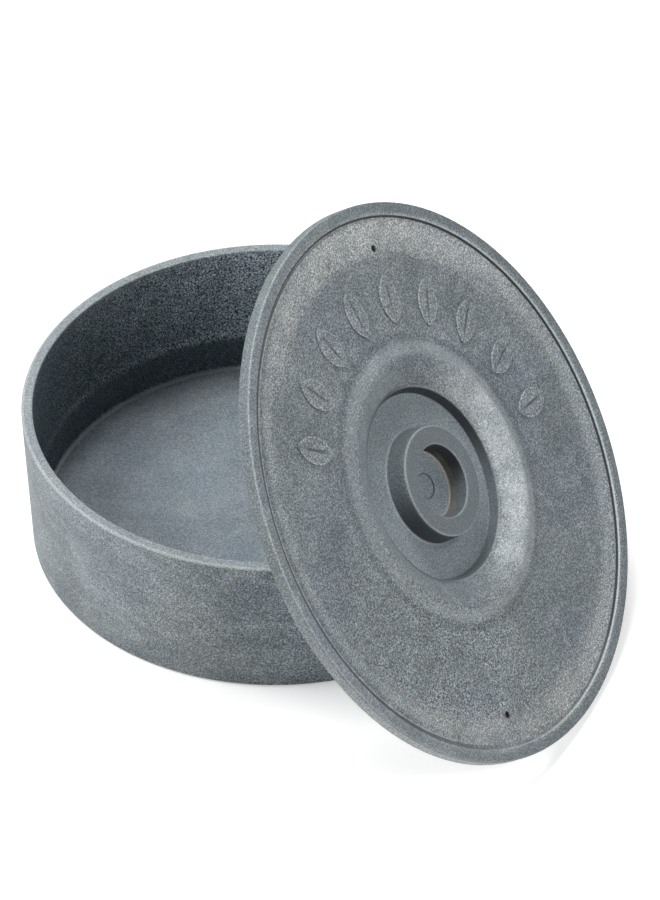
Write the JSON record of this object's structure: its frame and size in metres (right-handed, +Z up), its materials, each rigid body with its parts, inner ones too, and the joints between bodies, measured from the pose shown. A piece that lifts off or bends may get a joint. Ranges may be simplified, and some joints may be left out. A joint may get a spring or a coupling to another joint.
{
  "type": "tortilla warmer",
  "caption": "Round straight-sided bowl with a loose flat lid; the lid has a ring knob in a round well and stands on edge against the rim.",
  "frame": {"origin": "centre of the bowl's flat underside, on the table", "axes": "+Z up along the bowl's axis; the lid leans on the bowl's right front, towards +X and -Y"},
  "size_m": [0.2498, 0.2987, 0.1888],
  "materials": {
    "bowl_plastic": "fine sand-textured grey with cloudy stone-like mottling",
    "lid_plastic": "fine sand-textured grey with cloudy stone-like mottling, smoother on the knob and in the well"
  },
  "bodies": {
    "bowl": {"bowl": "bowl_plastic"},
    "lid": {"lid": "lid_plastic"}
  },
  "joints": [
    {"name": "lid_lift", "type": "slide", "parent": "bowl", "child": "lid", "axis": [0, 0, 1], "range_m": [0, 0.12]}
  ]
}
